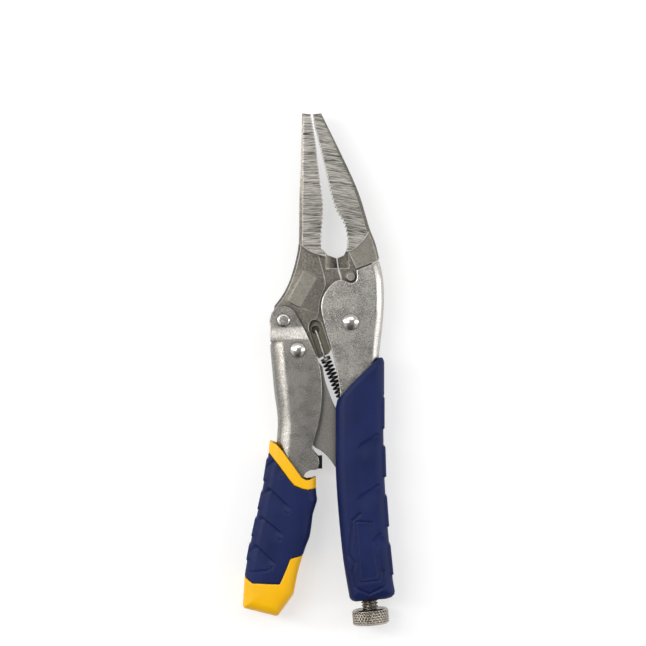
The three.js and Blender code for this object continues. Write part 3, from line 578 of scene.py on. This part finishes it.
def groove(start, end, x, y, width=1.0, depth=0.55):
    """Depth of a moulded line between two places."""
    share, left = line_places(start, end, x, y)
    length = math.dist(start, end)
    past = np.maximum(np.maximum(-share, share - 1), 0) * length
    return depth * (1 - ramp(np.hypot(left, past), width * 0.25, width * 0.75))


def scale_step(start, end, x, y, run, depth):
    """Depth of an overlapping-scale step: it drops at the line and ramps back over a run to its right."""
    share, left = line_places(start, end, x, y)
    fall = ramp(-left, 0, 0.5) * (1 - ramp(-left, 0.5, run))
    ends = ramp(share, -0.04, 0.12) * (1 - ramp(share, 0.7, 1.05))
    return depth * fall * ends


def with_blocks(form, blocks, out, inward, slant, x, y, z):
    """Adds a block from each start to its end, standing out by one distance and reaching in by another."""
    for (x0, y0), (x1, y1) in blocks:
        corners = [(x0 + out, y0), (x0 + inward, y0 + slant), (x1 + inward, y1), (x1 + out, y1)]
        block = outline_distance(corners, x, y)
        form = soft_join(form, rounded(block, z, BLOCK_HALF, BLOCK_ROUND))
    return form


def skinned(field, low, cell):
    """Points in millimetres and quads where a grid of signed distances is zero."""
    inside = field < 0
    cells = tuple(n - 1 for n in field.shape)
    total = np.zeros((*cells, 3), np.float32)
    count = np.zeros(cells, np.float32)
    crossings = []
    for axis in range(3):
        near = tuple(slice(None, -1) if i == axis else slice(None) for i in range(3))
        far = tuple(slice(1, None) if i == axis else slice(None) for i in range(3))
        crossed = inside[near] != inside[far]
        share = np.where(crossed, field[near] / np.where(crossed, field[near] - field[far], 1), 0)
        crossings.append(crossed)
        u, v = (i for i in range(3) if i != axis)
        for du in (0, 1):
            for dv in (0, 1):
                part = [slice(None)] * 3
                part[u] = slice(du, du + cells[u])
                part[v] = slice(dv, dv + cells[v])
                hit = crossed[tuple(part)]
                total[..., axis] += share[tuple(part)]
                total[..., u] += hit * du
                total[..., v] += hit * dv
                count += hit
    used = np.argwhere(count > 0)
    index = np.full(cells, -1, np.int64)
    index[tuple(used.T)] = np.arange(len(used))
    points = low + cell * (used + total[tuple(used.T)] / count[tuple(used.T)][:, None])
    quads = []
    for axis in range(3):
        u, v = (axis + 1) % 3, (axis + 2) % 3
        at = np.argwhere(crossings[axis])
        at = at[(at[:, u] > 0) & (at[:, v] > 0) & (at[:, u] < cells[u]) & (at[:, v] < cells[v])]
        step_u, step_v = np.eye(3, dtype=int)[u], np.eye(3, dtype=int)[v]
        corners = [at - step_u - step_v, at - step_v, at, at - step_u]
        quad = np.stack([index[tuple(c.T)] for c in corners], 1)
        out = inside[tuple(at.T)]
        quads.append(np.where(out[:, None], quad, quad[:, ::-1]))
    return points, np.vstack(quads)


def moulded(name, low, high, cell, form, look, body, *nodes, slot):
    """A piece that is the same above and below the middle plane, from form(x, y, z) on a grid of cells."""
    x, y = (np.arange(low[i], high[i] + cell, cell) for i in (0, 1))
    z = np.arange(0, high[2] + cell, cell)
    plan_x, plan_y = np.meshgrid(x, y, indexing="ij")
    upper = form(plan_x, plan_y, z).astype(np.float32)
    field = np.concatenate([upper[..., :0:-1], upper], axis=2)
    points, quads = skinned(field, np.array([x[0], y[0], -z[-1]]), cell)
    new_piece(name, row(points), quads.tolist(), look, body, *nodes, slot=slot)


# ---------------------------------------------------------------- main grip

SCREW_TILT = math.radians(4.78)  # from the tool's length
CLEARANCE = 0.3  # round the channel inside the grip
HOLLOW_HALF, HOLLOW_ROUND = 7.5, 4.2  # the room for that channel
SLOT_HALF = 5.2  # of the opening in the inner side, for the link
EXIT_RADIUS = 4.7  # of the hole that the screw leaves by
MAIN_BACK = [(12.7, -23), (12.6, -50), (13.2, -72), (14.6, -95), (17, -123)]  # the channel's web
MAIN_RIM = [(1.6, -123), (-1, -105), (-2.8, -86.5), (-4.2, -66), (-4.4, -42), (-6.4, -22.5)]
MAIN_RIGHT = [
    (15.4, -33), (15, -36), (15, -50), (15.6, -73), (17.1, -95), (19.1, -116), (20.3, -123.1),
]
MAIN_END = [
    (20, -124.6), (18.6, -125.9), (16.4, -126.6), (2.3, -127.9), (0.7, -127.5), (-0.5, -126.2),
]
MAIN_LEFT = [
    (-0.8, -124.5), (-2.6, -114), (-3.9, -104.5), (-5.6, -87), (-6.8, -68), (-6.9, -50), (-6.9, 0),
]
MAIN_MOUTH = [(-7, -37.4), (-4.6, -34), (2.6, -26), (12.7, -16.6)]
MAIN_PANEL = [(2.1, -91.1), (9.6, -91.4), (13.3, -117.7), (4.5, -118.9)]
MAIN_FRAME = [  # the moulded line round the panel
    (0.8, -92), (-0.6, -106.5), (1.8, -110), (0.9, -114), (2.0, -121), (8.4, -124.2), (15.6, -120.6),
    (14.9, -113.5),
]
MAIN_BLOCKS = [
    ((14.8, -34.5), (14.8, -48.8)),
    ((15.2, -57), (15.6, -70.8)),
    ((15.9, -79.6), (16.9, -93.4)),
    ((17.5, -101.7), (18.9, -115.5)),
]
MAIN_GROOVES = [
    ((12.2, -51.4), (4.2, -56.6)),
    ((12.6, -74.6), (4.4, -79.7)),
    ((13.6, -96.8), (11.4, -98.2)),
    ((0.6, -91), (4.2, -87.6)),
]
MAIN_STEPS = [((12.2, -51.4), (2.4, -57.7)), ((12.6, -74.6), (2.6, -80.8)), ((14, -96.5), (9, -99.7))]


def main_grip_form(x, y, z):
    """The blue grip: a crowned form with blocks down its outer edge, hollow where the channel goes."""
    outline = [(15.4, 0), *smooth(MAIN_RIGHT, 6), *MAIN_END, *smooth(MAIN_LEFT, 6)]
    form = crowned(outline_distance(outline, x, y), z)
    form = with_blocks(form, MAIN_BLOCKS, 0.75, -6, 1.5, x, y, z)
    depth = 0
    for start, end in (*MAIN_GROOVES, *zip(MAIN_FRAME, MAIN_FRAME[1:])):
        depth = np.maximum(depth, groove(start, end, x, y))
    panel = outline_distance(MAIN_PANEL, x, y)
    depth = np.maximum(depth, 0.5 * (1 - ramp(np.abs(panel), 0.2, 0.6)))
    depth = np.maximum(depth, 0.25 * (1 - ramp(panel, -1.2, -0.8)))
    for start, end in MAIN_STEPS:
        depth = np.maximum(depth, scale_step(end, start, x, y, 8, 0.6))
    form += depth[..., None]
    beyond = [(-14, -29.5), *smooth(MAIN_MOUTH, 4), (14.6, -16.2), (30, -16.4), (30, 20), (-14, 20)]
    mouth = outline_distance(beyond, x, y)[..., None]
    form = np.maximum(np.maximum(form, -mouth), (1.9 - mouth + 2.4 * form) / 2.6)  # a sloped lip
    walls = [(-40, 30), (-40, -150), (18.8, -150), *reversed(MAIN_BACK), (12.7, 30)]
    channel = outline_distance(walls, x, y) - CLEARANCE
    ends = outline_distance([*MAIN_RIM, (-6.4, 10), (14, 10), *MAIN_BACK], x, y) - CLEARANCE
    hollow = np.maximum(rounded(channel, z, HOLLOW_HALF, HOLLOW_ROUND), ends[..., None])
    slot = np.maximum(np.maximum(x - 4, -83 - y)[..., None], z - SLOT_HALF)
    along = (x - LINK_END[0]) * math.cos(SCREW_TILT) + (y - LINK_END[1]) * math.sin(SCREW_TILT)
    exit_hole = np.maximum(np.hypot(along[..., None], z) - EXIT_RADIUS, (y + 110)[..., None])
    return np.maximum(np.maximum(form, -hollow), np.maximum(-slot, -exit_hole))


# ---------------------------------------------------------------- lever grip

SKIN_TOP = [
    (-60, -49), (-37.4, -59.6), (-32.4, -65.8), (-27.8, -72.2), (-25.8, -74.6), (-22, -76.1), (-19.6, -76.6),
    (-5, -74.4),
]
SKIN_BOTTOM = [
    (-5, -102), (-27.6, -108), (-29.6, -113.2), (-32.4, -119.6), (-44.9, -119.1), (-48.5, -116.2),
    (-70, -108),
]
COLLAR_EDGE = [
    (-36.8, -54.4), (-33.8, -55.9), (-31.1, -58.9), (-27.8, -63.5), (-25.1, -67.2), (-22.2, -71.2),
    (-20.2, -72.2), (-18, -71.8), (-15.9, -70.8),
]
LEVER_LEFT = [
    (-36, -30), (-36.6, -45), (-37.6, -60), (-39.7, -73), (-42.4, -86), (-45.4, -99), (-48.2, -114),
    (-48.9, -122),
]
LEVER_END = [(-49.4, -129.8), (-48.8, -130.8), (-34.3, -134.4), (-33, -134.1), (-26.4, -124.9)]
LEVER_RIGHT = [(-26, -123.9), (-23.8, -113), (-20.6, -103), (-18.6, -97.5), (-17.3, -88)]
LEVER_NECK = [(-15.3, -81.5), (-15.9, -74), (-15.9, -40)]
CORE_CAVITY = [  # where the lever's channel goes
    (-35.3, -30), (-35.3, -54), (-36, -60), (-38, -73), (-40.2, -86), (-41.5, -102), (-23.6, -102),
    (-20.4, -86), (-18.2, -76), (-18.2, -30),
]
LEVER_BLOCKS = [
    ((-38, -62.5), (-39.6, -72.5)),
    ((-40.5, -77.7), (-42.2, -85.4)),
    ((-43.3, -89.9), (-45, -97.8)),
    ((-46, -101.7), (-47.3, -108.8)),
]
LEVER_STEPS = [
    ((-37.4, -75.2), (-26.6, -85.2)),
    ((-40.9, -88.2), (-30.2, -97)),
    ((-43.4, -101), (-33.8, -110.3)),
    ((-35.2, -62.4), (-29, -68.6)),
]
CAVITY_HALF = 9
RELEASE_PIN = (-28, -82)
PIN_HOLE_RADIUS = 2.08
SEAM = 0.06  # half the gap between the skin's ends and the core
SEAM_EDGE = 0.35  # how far those edges are eased
UNDER_SKIN = 0.1  # the gap between the skin and the core under it


def lever_grip_plain(x, y, z):
    """The whole moulded form of the lever's grip, with no fingers, grooves or ends."""
    outline = [*smooth(LEVER_LEFT, 5), *LEVER_END, *smooth(LEVER_RIGHT, 6), *smooth(LEVER_NECK, 6)]
    return crowned(outline_distance(outline, x, y), z)


def lever_grip_form(x, y, z):
    """The same with its blocks, overlapping steps and moulded lines."""
    form = with_blocks(lever_grip_plain(x, y, z), LEVER_BLOCKS, -0.5, 6, -2, x, y, z)
    depth = 0
    for start, end in LEVER_STEPS:
        depth = np.maximum(depth, scale_step(start, end, x, y, 6.5, 0.85))
        a, b = np.array(start), np.array(end)
        shift = -3.2 * np.array([a[1] - b[1], b[0] - a[0]]) / math.dist(start, end)
        depth = np.maximum(depth, groove(a * 0.6 + b * 0.4 + shift, b + shift, x, y, 1.1, 0.4))
    depth = np.maximum(depth, groove((-46, -114.2), (-38, -113.4), x, y, 0.9, 0.35))
    depth = np.maximum(depth, groove((-38, -113.4), (-35.6, -111.6), x, y, 0.9, 0.3))
    return form + depth[..., None]


def skin_band(x, y):
    """Distance in plan from the stretch that the blue skin covers."""
    return outline_distance([*SKIN_TOP, *SKIN_BOTTOM], x, y)[..., None]


def blue_form(x, y, z):
    """The skin, open inside."""
    form = soft_cut(lever_grip_form(x, y, z), skin_band(x, y) + SEAM, SEAM_EDGE)
    return np.maximum(form, -(lever_grip_plain(x, y, z) + SKIN - UNDER_SKIN))


def yellow_form(x, y, z):
    """The core: full size at the collar and the end block, and thinner under the skin."""
    shown = soft_cut(lever_grip_plain(x, y, z), SEAM - skin_band(x, y), SEAM_EDGE)
    form = np.minimum(shown, lever_grip_plain(x, y, z) + SKIN)
    above = [(-70, -47), (-38, -53.4), *COLLAR_EDGE, (0, -69), (0, 40), (-70, 40)]
    form = soft_cut(form, -outline_distance(above, x, y)[..., None], 0.5)
    cavity = np.maximum(outline_distance(CORE_CAVITY, x, y)[..., None], z - CAVITY_HALF)
    pin = np.hypot(x - RELEASE_PIN[0], y - RELEASE_PIN[1])[..., None] - PIN_HOLE_RADIUS
    return np.maximum(np.maximum(form, -cavity), -pin)


# ---------------------------------------------------------------- adjusting screw

PITCH = 1.411
THREAD_RADIUS = 3.9
THREAD_DEPTH = 0.8
THREAD_START = 16.1
TAPER_LENGTH = 1.6
TAPER_TIP = 2.6
KNOB_START = 58.1
KNOB_END = 65.3
KNOB_RADIUS = 8.35
KNOB_CHAMFER = 0.75
KNURL_TEETH = 32
KNURL_DEPTH = 0.62


def screw_places(points):
    """Points about the screw's own axis, counted outwards from the link's end, as places in the row frame."""
    axis = Vector(JOINTS["screw_turn"]["axis"]).normalized()
    side = Vector((0, 0, 1)).cross(axis).normalized()
    frame_of_screw = np.array([side, axis.cross(side), axis])
    start = row([*LINK_END, 0])
    return start + (np.asarray(points) * MM) @ frame_of_screw


def wave(value):
    """A triangle wave, 0 at whole numbers and 1 halfway."""
    return 1 - np.abs(2 * (value - np.floor(value)) - 1)


def thread_mesh():
    """A single thread with flat roots and crests, tapered at its start."""
    sides, steps = 64, 12
    height = np.arange(THREAD_START, KNOB_START + 0.6, PITCH / steps)
    share = np.linspace(0, 1, sides, endpoint=False)[None]
    crest = np.clip((wave(height[:, None] / PITCH - share) - 0.14) / 0.74, 0, 1)
    radius = THREAD_RADIUS - THREAD_DEPTH * (1 - crest)
    taper = np.clip((height - THREAD_START) / TAPER_LENGTH, 0, 1)[:, None]
    radius = np.minimum(radius, TAPER_TIP + (THREAD_RADIUS - TAPER_TIP) * taper)
    return ring_mesh(radius, height, (height[0], height[-1]))


def knob_mesh():
    """A knob with a diamond knurl between chamfers, and a shallow recess in each face."""
    sides, steps = 384, 62
    share = np.linspace(0, 1, sides, endpoint=False)[None]
    height = np.linspace(KNOB_START, KNOB_END, steps)[:, None]
    lead = 2 * math.pi * KNOB_RADIUS / KNURL_TEETH / 0.72
    first, second = wave(KNURL_TEETH * share + height / lead), wave(KNURL_TEETH * share - height / lead)
    bumps = np.clip(1.5 * np.minimum(first, second), 0, 1)
    from_end = np.minimum(height - KNOB_START, KNOB_END - height)
    chamfer = KNOB_CHAMFER * (1 - np.clip(from_end / KNOB_CHAMFER, 0, 1))
    knurled = ramp(from_end, KNOB_CHAMFER, KNOB_CHAMFER + 0.3)
    radius = KNOB_RADIUS - chamfer - knurled * KNURL_DEPTH * (1 - bumps)
    face = [(3.6, KNOB_START + 0.35), (6.4, KNOB_START + 0.35), (6.9, KNOB_START)]
    back = [(6.9, KNOB_END), (6.3, KNOB_END - 0.45), (1.2, KNOB_END - 0.5), (0.7, KNOB_END - 0.8)]
    front, rear = (np.full((len(part), sides), [[r] for r, _ in part]) for part in (face, back))
    radius = np.vstack([front, radius, rear])
    rows = np.concatenate([[h for _, h in face], height[:, 0], [h for _, h in back]])
    return ring_mesh(radius, rows, (rows[0], rows[-1]))


# ---------------------------------------------------------------- opening spring

COIL_RADIUS = 1.92
COIL_TURNS = 12.75
CLOSED_TURNS = 1.5
CLOSED_PITCH = 0.45  # of the first turns, as a share of the others'
WIRE = 0.48  # its radius
LEG_HEIGHT = 2.3  # of the straight leg, over the middle plane
LOOP_RADIUS = 1.55  # round the anchor pin
LOOP_TURN = (160, 420)  # degrees


def spring_path():
    """The wire's line: a hook and straight leg, an end loop, the coil, and a loop round the anchor pin."""
    top, bottom, pin = (np.array([*place, 0]) for place in (COIL_TOP, COIL_BOTTOM, ANCHOR_PIN))
    axis = (bottom - top) / np.linalg.norm(bottom - top)
    side, up = np.cross([0, 0, 1], axis), np.array([0, 0, 1])
    turns = np.linspace(0, COIL_TURNS, int(COIL_TURNS * 20) + 1)[:, None]
    saved = CLOSED_TURNS * (1 - CLOSED_PITCH)
    advance = np.where(turns < CLOSED_TURNS, turns * CLOSED_PITCH, turns - saved) / (COIL_TURNS - saved)
    angle = math.pi / 2 - 2 * math.pi * turns
    along = (bottom - top) * advance
    coil = top + along + COIL_RADIUS * (side * np.cos(angle) + up * np.sin(angle))
    hook = np.array([*HOOK_HOLE, 0])
    upper = [hook - 1.0 * up, hook, hook + 1.4 * up, hook + 0.6 * axis + LEG_HEIGHT * up]
    upper += [hook + 2.5 * axis + LEG_HEIGHT * up, top - 1.6 * axis + LEG_HEIGHT * up]
    spin = np.radians(np.linspace(*LOOP_TURN, 14))
    ring = pin + LOOP_RADIUS * np.stack([np.cos(spin), np.sin(spin), 0 * spin], -1)
    lower = [coil[-1], bottom + 1.2 * axis + 0.9 * up, bottom + 2.4 * axis, ring[0]]
    return np.vstack([smooth([*upper, coil[0]], 5)[:-1], coil, smooth(lower, 5)[1:-1], ring])


# ---------------------------------------------------------------- rivets


def rivet(name, centre, shank, head, face, rise, body, flat=0.0):
    """Two equal heads on a shank: domes, or flat buttons with rounded rims."""
    turn = np.linspace(0.1, math.pi / 2, 12)
    dome = np.stack([flat + (head - flat) * np.cos(turn), face + 0.1 + (rise - 0.1) * np.sin(turn)], 1)
    top = [[0, dome[-1][1]]] if flat else []
    upper = [[shank, face], [head - 0.12, face], [head, face + 0.1], *dome.tolist(), *top]
    upper[-1][0] = 0
    lower = [[radius, -height] for radius, height in reversed(upper)]
    points, faces = turned(lower + upper, 48)
    places = row(points + [*centre, 0])
    new_piece(name + "_smooth", places, faces, LOOKS["rivet"], body, name, slot="nickel_steel")


# ---------------------------------------------------------------- carried-over steel

FLAT_WITHIN = math.radians(0.3)  # faces closer than this in angle are one face
SHARP_FROM = math.radians(32)  # edges sharper than this are eased


def crisp(node, look, width_mm, weld_mm=0.004):
    """Keeps a CAD node's shape and eases its edges. A wide weld takes out slivers that would fold over."""
    made = NODES[node]
    mesh = made.data
    for name in ("custom_normal", "sharp_edge"):  # the modifiers give the shading instead
        if name in mesh.attributes:
            mesh.attributes.remove(mesh.attributes[name])
    mesh.shade_smooth()
    made.material_slots[0].material = look
    weld = made.modifiers.new("weld", "WELD")
    weld.merge_threshold = weld_mm * MM
    flat = made.modifiers.new("flat", "DECIMATE")
    flat.decimate_type = "DISSOLVE"
    flat.angle_limit = FLAT_WITHIN
    bevel = made.modifiers.new("bevel", "BEVEL")
    bevel.limit_method = "ANGLE"
    bevel.angle_limit = SHARP_FROM
    bevel.width = width_mm * MM
    bevel.segments = 2
    bevel.use_clamp_overlap = False
    bevel.miter_outer = "MITER_ARC"
    normals = made.modifiers.new("normals", "WEIGHTED_NORMAL")
    normals.keep_sharp = True


# ---------------------------------------------------------------- the whole tool

camera()
for light in LIGHTS:
    area_light(*light)

LOOKS = materials()

for name, low, high, cell, form, look, body, node, slot in (
    (
        "main_grip_moulded", (-8.6, -129.4), (21.6, -14.6, 12), MAIN_CELL, main_grip_form,
        "blue", "main_body", "main_grip", "blue_grip",
    ),
    (
        "lever_grip_skin", (-51.5, -122), (-13, -55.6, 12), LEVER_CELL, blue_form,
        "blue", "release_grip", "lever_grip", "blue_grip",
    ),
    (
        "lever_grip_core", (-51.5, -136.2), (-13, -51.6, 12), LEVER_CELL, yellow_form,
        "yellow", "release_grip", "grip_core", "yellow_core",
    ),
):
    moulded(name, low, high, cell, form, LOOKS[look], body, node, slot=slot)

for name, (points, faces) in (("screw_thread", thread_mesh()), ("screw_knob", knob_mesh())):
    places = screw_places(points)
    new_piece(name, places, faces, LOOKS["screw"], "screw", "adjusting_screw", slot="screw_steel")

points, faces = tube(spring_path(), WIRE, 12)
spring = new_piece(
    "spring_coil", row(points), faces, LOOKS["spring"], None, "opening_spring", slot="spring_steel"
)
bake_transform(spring)

# centre, radii of shank and head, height of the wall it sits on, rise, body
rivet("jaw_pivot_rivet", (0, 0), 3.2, 3.8, 7.3, 1.7, "main_body")
rivet("lever_pivot_rivet", LEVER_PIVOT, 2.6, 3.05, 7.8, 1.2, "lever", flat=2.1)
rivet("link_pivot_rivet", LINK_PIVOT, 2.9, 3.55, 8.8, 1.7, "lever")

for node, look, width, *weld in (  # widths and welds in millimetres
    ("fixed_jaw", "fixed", 0.1, 0.42),
    ("movable_jaw", "movable", 0.14, 0.3),
    ("main_handle", "main", 0.45),
    ("lever_handle", "lever", 0.25, 0.3),
    ("toggle_link", "link", 0.3),
    ("link_spacer_top", "link", 0.1),
    ("link_spacer_bottom", "link", 0.1),
    ("spring_anchor_pin", "main", 0.1),
    ("thread_collar", "main", 0.2),
    ("screw_nose", "screw", 0.1),
    ("release_arm", "black", 0.25),
    ("release_pin", "main", 0.1),
):
    crisp(node, LOOKS[look], width, *weld)

# ---------------------------------------------------------------- floor and surroundings

bpy.ops.mesh.primitive_plane_add(size=SHEET_SIZE, location=(0, 0, SHEET_HEIGHT))
floor = bpy.context.object
floor.name = "floor"
floor.data.materials.append(LOOKS["floor"])
floor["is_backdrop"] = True

sky()
bpy.context.scene.view_settings.view_transform = "Standard"

low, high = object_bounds()
